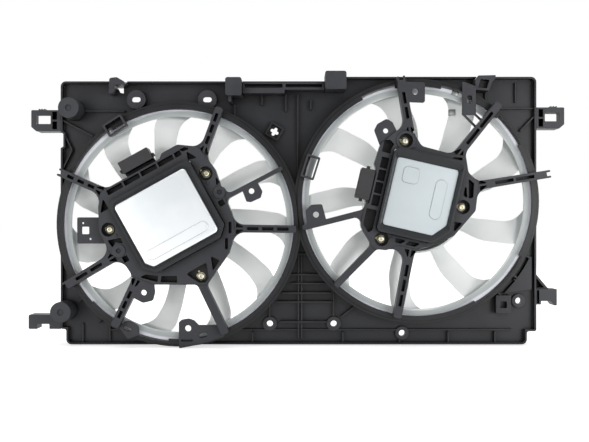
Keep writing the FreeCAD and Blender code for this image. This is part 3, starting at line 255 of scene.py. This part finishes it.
# the electronics housings are the smoothest, and the plug sockets matt and a little warm
housingLook = {**blackMoulding, "colour": "#292a2d", "paler": "#2f3134", "roughness": (0.26, 0.36)}
socketLook = {**blackMoulding, "colour": "#333234", "paler": "#39383a", "roughness": (0.46, 0.56)}


def glassFilledNylon(name, look):
    # glass-filled polyamide, injection moulded: soft sheen, faint flow marks and a fine eroded grain
    material = newMaterial(name)
    place = addNode(material, "ShaderNodeTexCoord")
    flow = addNode(material, "ShaderNodeTexNoise",
                   {"Scale": perMillimetre(look["flowSize"]), "Detail": 3.0, "Roughness": 0.55,
                    "Distortion": 0.8},
                   {"Vector": (place, "Object")})
    tone = addNode(material, "ShaderNodeValToRGB", {}, {"Fac": (flow, "Fac")})
    setStops(tone.color_ramp, zip(look["toneStops"], (linear(look["colour"]), linear(look["paler"]))))
    shaded = cornerShade(material, (tone, "Color"), look["cornerReach"], look["cornerDark"])
    grain = addNode(material, "ShaderNodeTexNoise",
                    {"Scale": perMillimetre(look["grainSize"]), "Detail": 2.0}, {"Vector": (place, "Object")})
    smoothest, roughest = look["roughness"]
    dull = addNode(material, "ShaderNodeMapRange",
                   {"From Min": noiseSpan[0], "From Max": noiseSpan[1],
                    "To Min": smoothest, "To Max": roughest},
                   {"Value": (flow, "Fac")})
    edge = addNode(material, "ShaderNodeBevel", {"samples": edgeSamples, "Radius": look["edgeRound"]})
    bump = addNode(material, "ShaderNodeBump",
                   {"Strength": look["grainStrength"], "Distance": look["grainDepth"]},
                   {"Height": (grain, "Fac"), "Normal": (edge, "Normal")})
    shine = addNode(material, "ShaderNodeBsdfPrincipled", {"IOR": 1.53, "Specular IOR Level": look["gloss"]},
                    {"Base Color": (shaded, 2), "Roughness": (dull, "Result"), "Normal": (bump, "Normal")})
    addNode(material, "ShaderNodeOutputMaterial", {}, {"Surface": (shine, 0)})
    return material


# Milky fans. Their tone changes with the distance from the axis, and paints light and shade: light through
# the thin middle of the blades, shade on the band under the duct's lip, and light on the band's flare.

milkyFan = {
    "axes": {"left": (-0.155, -0.015), "right": (0.155, 0.015)},  # x and z
    "reach": 0.16,  # the rings below are shares of this radius
    "rings": [
        (0.40, "#e6ebea"),  # hub and blade roots
        (0.62, "#f8fbf9"),  # thin middle of the blades, paler: painted light coming through
        (0.865, "#f2f5f4"),  # blade tips
        (0.885, "#b2b7b7"),  # band, darker: painted shade under the duct's lip
        (0.918, "#aab0b1"),  # foot of the flare, darker still: painted shade
        (0.932, "#e6e7f0"),  # flare of the band, pale lavender: painted light where it is open to the light
    ],
    "flowSize": 90.0,  # mm
    "flowDepth": 0.06,  # how far the rings waver, in the same shares
    "roughness": 0.4,
    "milk": 0.3,  # share of the light that goes in and comes out again
    "milkReach": (0.007, 0.0075, 0.007),  # how far red, green and blue light goes in
    "edgeRound": 0.0008,
}


def naturalPolypropylene(name, look, axis):
    # unpigmented moulded polypropylene: milky and a little green, with painted light and shade by radius:
    # paler through the thin blade middles and on the band's flare, darker on the band
    material = newMaterial(name)
    place = addNode(material, "ShaderNodeTexCoord")
    flat = addNode(material, "ShaderNodeMapping",
                   {"Location": (-axis[0], 0.0, -axis[1]), "Scale": (1.0, 0.0, 1.0)},
                   {"Vector": (place, "Object")})
    radius = addNode(material, "ShaderNodeVectorMath", {"operation": "LENGTH"}, {0: (flat, "Vector")})
    flow = addNode(material, "ShaderNodeTexNoise",
                   {"Scale": perMillimetre(look["flowSize"]), "Detail": 2.0, "Roughness": 0.5},
                   {"Vector": (place, "Object")})
    share = addNode(material, "ShaderNodeMath", {"operation": "DIVIDE", 1: look["reach"]},
                    {0: (radius, "Value")})
    drift = addNode(material, "ShaderNodeMath",
                    {"operation": "MULTIPLY_ADD", 1: look["flowDepth"], 2: -look["flowDepth"] / 2},
                    {0: (flow, "Fac")})
    where = addNode(material, "ShaderNodeMath", {"operation": "ADD"}, {0: (share, 0), 1: (drift, 0)})
    # the ramp paints light through the blades' thin middle and on the flare, and shade on the band
    tone = addNode(material, "ShaderNodeValToRGB", {}, {"Fac": (where, 0)})
    setStops(tone.color_ramp, [(at, linear(colour)) for at, colour in look["rings"]])
    edge = addNode(material, "ShaderNodeBevel", {"samples": edgeSamples, "Radius": look["edgeRound"]})
    shine = addNode(material, "ShaderNodeBsdfPrincipled",
                    {"Roughness": look["roughness"], "IOR": 1.49, "Subsurface Weight": look["milk"],
                     "Subsurface Radius": look["milkReach"], "Subsurface Scale": 1.0},
                    {"Base Color": (tone, "Color"), "Normal": (edge, "Normal")})
    addNode(material, "ShaderNodeOutputMaterial", {}, {"Surface": (shine, 0)})
    return material


# Metals. Cloud and grain are in millimetres, and the grains are drawn coarser than real, so that they show.

metalBase = {  # what each metal starts from
    "toneStops": (0.35, 0.65),
    "spread": 0.05,  # how far the roughness drifts either way
    "bumpDepth": 0.0001,
    "edgeRound": 0.0009,
    "cornerReach": 0.006,
    "cornerDark": 0.05,
}
metals = {
    # rolled aluminium sheet: pale and even, with a soft mirror
    "brightCover": {"colour": "#fafdfe", "darker": "#f1f6f9", "roughness": 0.32, "spread": 0.012,
                    "cloud": 60.0, "grain": 1.2, "bump": 0.03},
    # pressed aluminium sheet: light grey and matt
    "greyCover": {"colour": "#b5bcbf", "darker": "#b0b7ba", "roughness": 0.52, "spread": 0.012,
                  "cloud": 60.0, "grain": 0.9, "bump": 0.05},
    # yellow passivated zinc on steel: silver with straw-coloured clouds
    "zincYellow": {"colour": "#f6f3e8", "darker": "#e3d9ad", "roughness": 0.42, "cornerDark": 0.7,
                   "cloud": 4.0, "grain": 1.5, "bump": 0.05},
    # clear passivated zinc on steel: blue-grey satin
    "zincPlain": {"colour": "#c3c6c9", "darker": "#a9adb1", "roughness": 0.3,
                  "cloud": 9.0, "grain": 1.5, "bump": 0.05},
    # ground steel: smooth and bright
    "steelBright": {"colour": "#b9bcc0", "darker": "#a0a4a8", "roughness": 0.22,
                    "cloud": 22.0, "grain": 1.0, "bump": 0.03},
    # stack of punched steel sheets: dull, with the sheets' edges showing
    "steelLaminated": {"colour": "#85878a", "darker": "#6c6e71", "roughness": 0.45,
                       "cloud": 22.0, "grain": 0.5, "bump": 0.3},
    # deep-drawn steel sheet: even grey satin
    "steelPressed": {"colour": "#9fa3a7", "darker": "#8b8f93", "roughness": 0.35,
                     "cloud": 22.0, "grain": 2.0, "bump": 0.06},
    # enamelled copper wire: warm and glossy, uneven from its turns
    "copperWire": {"colour": "#b8703f", "darker": "#8f4f28", "roughness": 0.35,
                   "cloud": 9.0, "grain": 0.8, "bump": 0.5},
    # sintered ferrite: a ceramic, but with the look of a charcoal metal, dull and gritty
    "ferrite": {"colour": "#3a3b3e", "darker": "#2e2f31", "roughness": 0.55,
                "cloud": 9.0, "grain": 1.0, "bump": 0.2},
    # tempered spring steel: a darker grey satin
    "springSteel": {"colour": "#8d908f", "darker": "#7c7f7e", "roughness": 0.4,
                    "cloud": 5.0, "grain": 0.9, "bump": 0.08},
}


def metal(name, kind):
    # bare or plated metal: even colour with faint cloudiness and a fine surface grain
    look = {**metalBase, **metals[kind]}
    material = newMaterial(name)
    place = addNode(material, "ShaderNodeTexCoord")
    cloud = addNode(material, "ShaderNodeTexNoise", {"Scale": perMillimetre(look["cloud"]), "Detail": 3.0},
                    {"Vector": (place, "Object")})
    tone = addNode(material, "ShaderNodeValToRGB", {}, {"Fac": (cloud, "Fac")})
    setStops(tone.color_ramp, zip(look["toneStops"], (linear(look["darker"]), linear(look["colour"]))))
    grain = addNode(material, "ShaderNodeTexNoise", {"Scale": perMillimetre(look["grain"]), "Detail": 2.0},
                    {"Vector": (place, "Object")})
    dull = addNode(material, "ShaderNodeMapRange",
                   {"From Min": noiseSpan[0], "From Max": noiseSpan[1],
                    "To Min": look["roughness"] - look["spread"],
                    "To Max": look["roughness"] + look["spread"]},
                   {"Value": (cloud, "Fac")})
    shaded = cornerShade(material, (tone, "Color"), look["cornerReach"], look["cornerDark"])
    edge = addNode(material, "ShaderNodeBevel", {"samples": edgeSamples, "Radius": look["edgeRound"]})
    bump = addNode(material, "ShaderNodeBump", {"Strength": look["bump"], "Distance": look["bumpDepth"]},
                   {"Height": (grain, "Fac"), "Normal": (edge, "Normal")})
    shine = addNode(material, "ShaderNodeBsdfPrincipled", {"Metallic": 1.0},
                    {"Base Color": (shaded, 2), "Roughness": (dull, "Result"), "Normal": (bump, "Normal")})
    addNode(material, "ShaderNodeOutputMaterial", {}, {"Surface": (shine, 0)})
    return material


# Rubber, lacquer, and the straw colour of the painted reflection beside the screws

plainBase = {
    "mottle": 6.0,  # mm
    "lift": 1.25,  # how much paler the mottle is
    "bump": 0.1,
    "bumpDepth": 0.0001,
}
plainLooks = {
    "siliconeSeal": {"colour": "#1d1e1f", "roughness": 0.75},  # moulded silicone: near black and matt
    "solderMask": {"colour": "#1f5a37", "roughness": 0.35},  # lacquered board: deep green, half gloss
}


def plainPlastic(name, colours):
    # one colour with a faint mottle
    look = {**plainBase, **colours}
    material = newMaterial(name)
    place = addNode(material, "ShaderNodeTexCoord")
    cloud = addNode(material, "ShaderNodeTexNoise", {"Scale": perMillimetre(look["mottle"]), "Detail": 4.0},
                    {"Vector": (place, "Object")})
    base = linear(look["colour"])
    paler = tuple(min(1.0, channel * look["lift"]) for channel in base)
    tone = addNode(material, "ShaderNodeValToRGB", {}, {"Fac": (cloud, "Fac")})
    setStops(tone.color_ramp, zip(noiseSpan, (base, paler)))
    bump = addNode(material, "ShaderNodeBump", {"Strength": look["bump"], "Distance": look["bumpDepth"]},
                   {"Height": (cloud, "Fac")})
    shine = addNode(material, "ShaderNodeBsdfPrincipled", {"Roughness": look["roughness"]},
                    {"Base Color": (tone, "Color"), "Normal": (bump, "Normal")})
    addNode(material, "ShaderNodeOutputMaterial", {}, {"Surface": (shine, 0)})
    return material


# Finishes: a few nodes have their own, and the rest take the one of their slot

# the plate and duct finishes are darker copies of the black moulding: painted shade
ductPlastic = glassFilledNylon("ductNylonPaintedShade", ductShadedLook)
yellowZinc = metal("yellowZincPlate", "zincYellow")
nodeFinishes = {
    "shroud_panel": glassFilledNylon("polishedNylonPaintedShade", plateShadedLook),
    "left_duct_ring": ductPlastic,
    "right_duct_ring": ductPlastic,
    "left_fan": naturalPolypropylene("naturalPolypropyleneLeft", milkyFan, milkyFan["axes"]["left"]),
    "right_fan": naturalPolypropylene("naturalPolypropyleneRight", milkyFan, milkyFan["axes"]["right"]),
}
finishes = {
    "shroud_plastic": glassFilledNylon("glassFilledNylon", blackMoulding),
    "housing_plastic": glassFilledNylon("housingNylon", housingLook),
    "connector_plastic": glassFilledNylon("socketNylon", socketLook),
    "bright_cover": metal("brightRolledAluminium", "brightCover"),
    "grey_cover": metal("pressedAluminium", "greyCover"),
    "gasket_rubber": plainPlastic("siliconeSeal", plainLooks["siliconeSeal"]),
    "circuit_board": plainPlastic("solderMask", plainLooks["solderMask"]),
    "bearing_steel": metal("groundBearingSteel", "steelBright"),
    "core_steel": metal("laminatedSteel", "steelLaminated"),
    "copper_wire": metal("enamelledCopper", "copperWire"),
    "shaft_steel": metal("groundShaftSteel", "steelBright"),
    "bell_steel": metal("pressedSteel", "steelPressed"),
    "magnet_ferrite": metal("sinteredFerrite", "ferrite"),
    "yellow_zinc": yellowZinc,
    "plain_zinc": metal("clearZincPlate", "zincPlain"),
}

for name, node in nodes.items():
    for holder in node.material_slots:
        holder.material = nodeFinishes.get(name) or finishes[holder.material.name.split(".")[0]]
print("materials laid on the nodes")


# Small steps that the pieces below share. The unit's front looks along -Y.


def pickFaces(piece, test):
    bpy.ops.object.mode_set(mode="OBJECT")
    for corner in piece.data.vertices:
        corner.select = False
    for side in piece.data.edges:
        side.select = False
    for face in piece.data.polygons:
        face.select = test(face)
    bpy.ops.object.mode_set(mode="EDIT")
    bpy.ops.mesh.select_mode(type="FACE")


def pickEdges(piece, test):
    bpy.ops.object.mode_set(mode="OBJECT")
    corners = piece.data.vertices
    for face in piece.data.polygons:
        face.select = False
    for corner in corners:
        corner.select = test(corner.co)
    for side in piece.data.edges:
        side.select = all(test(corners[i].co) for i in side.vertices)
    bpy.ops.object.mode_set(mode="EDIT")
    bpy.ops.mesh.select_mode(type="EDGE")


def pushFaces(along):
    bpy.ops.mesh.extrude_region_move(TRANSFORM_OT_translate={"value": (0, along, 0)})


def narrow(share, x, z):
    bpy.ops.transform.resize(value=(share, 1, share), center_override=(x, 0, z))


def closePiece(piece, name, smoothAngle=35.0):
    bpy.ops.object.mode_set(mode="OBJECT")
    bpy.ops.object.transform_apply(location=True, rotation=True, scale=True)
    bpy.ops.object.shade_smooth_by_angle(angle=math.radians(smoothAngle))
    piece.name = name
    piece.select_set(False)


def joinPieces(made, name, material, body):
    bpy.ops.object.select_all(action="DESELECT")
    for piece in made:
        piece.select_set(True)
    bpy.context.view_layer.objects.active = made[0]
    bpy.ops.object.join()
    whole = bpy.context.object
    whole.name = name
    whole.select_set(False)
    whole.data.materials.clear()
    whole.data.materials.append(material)
    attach(whole, body)
    return whole


# Motor screws: pan heads on a flange, with a six-lobed recess

motorScrews = {
    "places": [  # x and z: the centres of the seats on the two motor frames
        (-0.11825, 0.05030), (-0.24311, -0.02188), (-0.12470, -0.08224),
        (0.13861, 0.09247), (0.21169, 0.00715), (0.10749, -0.03387),
    ],
    "seat": -0.070,
    "sides": 36,
    "flangeR": 0.0052,
    "flangeHigh": 0.0007,
    "headInset": 0.0008,
    "headHigh": 0.0029,
    "crown": 0.0011,
    "crownSteps": [(0.93, 0.45), (0.86, 0.32), (0.84, 0.23)],  # shares of the width kept and of the rise
    "recessInset": 0.0010,
    "recessDeep": 0.0017,
    "lobes": 6,
    "lobeShare": 0.74,  # width between the lobes, as a share of the width over them
    "shankR": 0.0030,
    "shankLong": 0.011,
    "tipLong": 0.001,
    "tipShare": 0.75,
}


def raiseHead(look, x, z):
    bpy.ops.mesh.inset(thickness=look["headInset"])
    pushFaces(-(look["headHigh"] - look["crown"]))
    for share, rise in look["crownSteps"]:
        pushFaces(-look["crown"] * rise)
        narrow(share, x, z)


def sinkRecess(piece, look, x, z):
    bpy.ops.mesh.inset(thickness=look["recessInset"])
    bpy.ops.object.mode_set(mode="OBJECT")
    front = [face for face in piece.data.polygons if face.normal.y < -facing]
    top = max(front, key=lambda face: len(face.vertices))
    for index in top.vertices:
        corner = piece.data.vertices[index].co
        around = math.atan2(corner.z - z, corner.x - x)
        wave = (1 + math.cos(look["lobes"] * around)) / 2
        share = look["lobeShare"] + (1 - look["lobeShare"]) * wave
        corner.x = x + (corner.x - x) * share
        corner.z = z + (corner.z - z) * share
    bpy.ops.object.mode_set(mode="EDIT")
    pushFaces(look["recessDeep"])


def drawShank(piece, look, x, z):
    pickFaces(piece, lambda face: face.normal.y > facing and face.center.y > look["seat"] - near)
    bpy.ops.mesh.inset(thickness=look["flangeR"] - look["shankR"])
    pushFaces(look["shankLong"] - look["tipLong"])
    pushFaces(look["tipLong"])
    narrow(look["tipShare"], x, z)


def makeMotorScrews():
    look = motorScrews
    made = []
    for x, z in look["places"]:
        bpy.ops.object.select_all(action="DESELECT")
        middle = look["seat"] - look["flangeHigh"] / 2
        bpy.ops.mesh.primitive_cylinder_add(vertices=look["sides"], radius=look["flangeR"],
                                            depth=look["flangeHigh"], location=(x, middle, z),
                                            rotation=(math.radians(90), 0, 0))
        piece = bpy.context.object
        bpy.ops.object.transform_apply(location=True, rotation=True, scale=True)
        pickFaces(piece, lambda face: face.normal.y < -facing)
        raiseHead(look, x, z)
        sinkRecess(piece, look, x, z)
        drawShank(piece, look, x, z)
        closePiece(piece, "motorScrew")
        made.append(piece)
    screws = joinPieces(made, "motorScrews", yellowZinc, "shroud")
    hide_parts("motor_screws")


makeMotorScrews()
print("motor screws made")


# Painted reflection: straw-coloured dabs beside the screws, a crescent beside each head and a stray drop,
# stand for the yellow screws' reflection on the frame

paintedReflectionDabs = {
    "colour": "#c9c48a",  # painted reflection of the yellow screws: straw-coloured, half gloss
    "roughness": 0.4,
    "crescent": (-0.0046, 0.0006, 0.0019, 0.0028),  # x and z from the screw, half width and half height
    "drops": [  # x and z from the screw, and radius
        (-0.0079, 0.0045, 0.0015), (-0.0041, 0.0095, 0.0014), (-0.0033, 0.0063, 0.0014),
        (-0.0062, 0.0018, 0.0012), (-0.0066, 0.0008, 0.0013), (-0.0064, 0.0012, 0.0012),
    ],
    "high": 0.0006,
    "bedded": 0.0002,  # how far it reaches into the frame
    "segments": 20,
    "rings": 10,
    "smoothAngle": 60.0,
}


def makePaintedReflectionDabs():
    # each dab paints the yellow screw's reflection on the frame beside it
    look = paintedReflectionDabs
    seat = motorScrews["seat"]
    made = []
    for (x, z), (dropX, dropZ, dropR) in zip(motorScrews["places"], look["drops"]):
        for offX, offZ, halfWide, halfHigh in (look["crescent"], (dropX, dropZ, dropR, dropR)):
            bpy.ops.object.select_all(action="DESELECT")
            bpy.ops.mesh.primitive_uv_sphere_add(segments=look["segments"], ring_count=look["rings"],
                                                 radius=1.0, location=(x + offX, seat, z + offZ))
            piece = bpy.context.object
            bpy.ops.object.mode_set(mode="EDIT")
            bpy.ops.transform.resize(value=(halfWide, look["high"], halfHigh))
            bpy.ops.mesh.bisect(plane_co=(x, seat + look["bedded"], z), plane_no=(0, 1, 0), use_fill=True,
                                clear_outer=True)
            closePiece(piece, "paintedReflectionDab", look["smoothAngle"])
            made.append(piece)
    joinPieces(made, "paintedReflectionDabs", plainPlastic("paintedScrewReflection", look), "shroud")


# the straw dabs are painted reflection, not a compound on the frame
makePaintedReflectionDabs()
print("thread-lock drops made")


# Balance clips on the right fan: a spring clip over a blade's edge and one over the rim

balanceClips = {
    "sheet": 0.0006,
    "round": 0.00015,
    "clips": {  # "turn" is in degrees, and "gap" is from leg to leg
        "bladeClip": {"at": (0.20125, -0.0373, 0.1338), "turn": (0.0, 0.0, -25.1),
                      "long": 0.0092, "high": 0.0080, "gap": 0.00315},
        "rimClip": {"at": (0.20645, -0.0603, 0.15865), "turn": (0.0, 109.7, 0.0),
                    "long": 0.0062, "high": 0.0090, "gap": 0.0028},
    },
}


def makeBalanceClip(name, row, steel):
    bpy.ops.object.select_all(action="DESELECT")
    bpy.ops.mesh.primitive_plane_add(size=1.0, location=(row["long"] / 2, 0, 0),
                                     rotation=(math.radians(90), 0, 0))
    piece = bpy.context.object
    piece.scale = (row["long"], row["high"], 1.0)
    bpy.ops.object.transform_apply(location=True, rotation=True, scale=True)
    for push in ((0, row["gap"], 0), (row["long"], 0, 0)):  # round the bend, then along the second leg
        bpy.ops.object.mode_set(mode="OBJECT")
        deepest = max(corner.co.y for corner in piece.data.vertices)
        pickEdges(piece, lambda at: at.x < near and at.y > deepest - near)
        bpy.ops.mesh.extrude_edges_move(TRANSFORM_OT_translate={"value": push})
    bpy.ops.object.mode_set(mode="OBJECT")
    wall = piece.modifiers.new("wall", "SOLIDIFY")
    wall.thickness = balanceClips["sheet"]
    wall.offset = 0.0
    wall.use_even_offset = True
    soft = piece.modifiers.new("soft", "BEVEL")
    soft.width = balanceClips["round"]
    soft.segments = 2
    for modifier in ("wall", "soft"):
        bpy.ops.object.modifier_apply(modifier=modifier)
    piece.rotation_euler = [math.radians(angle) for angle in row["turn"]]
    piece.location = row["at"]
    closePiece(piece, name)
    piece.data.materials.append(steel)
    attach(piece, "right_fan")


clipSteel = metal("springSteel", "springSteel")
for clipName, clip in balanceClips["clips"].items():
    makeBalanceClip(clipName, clip, clipSteel)
print("balance clips made")
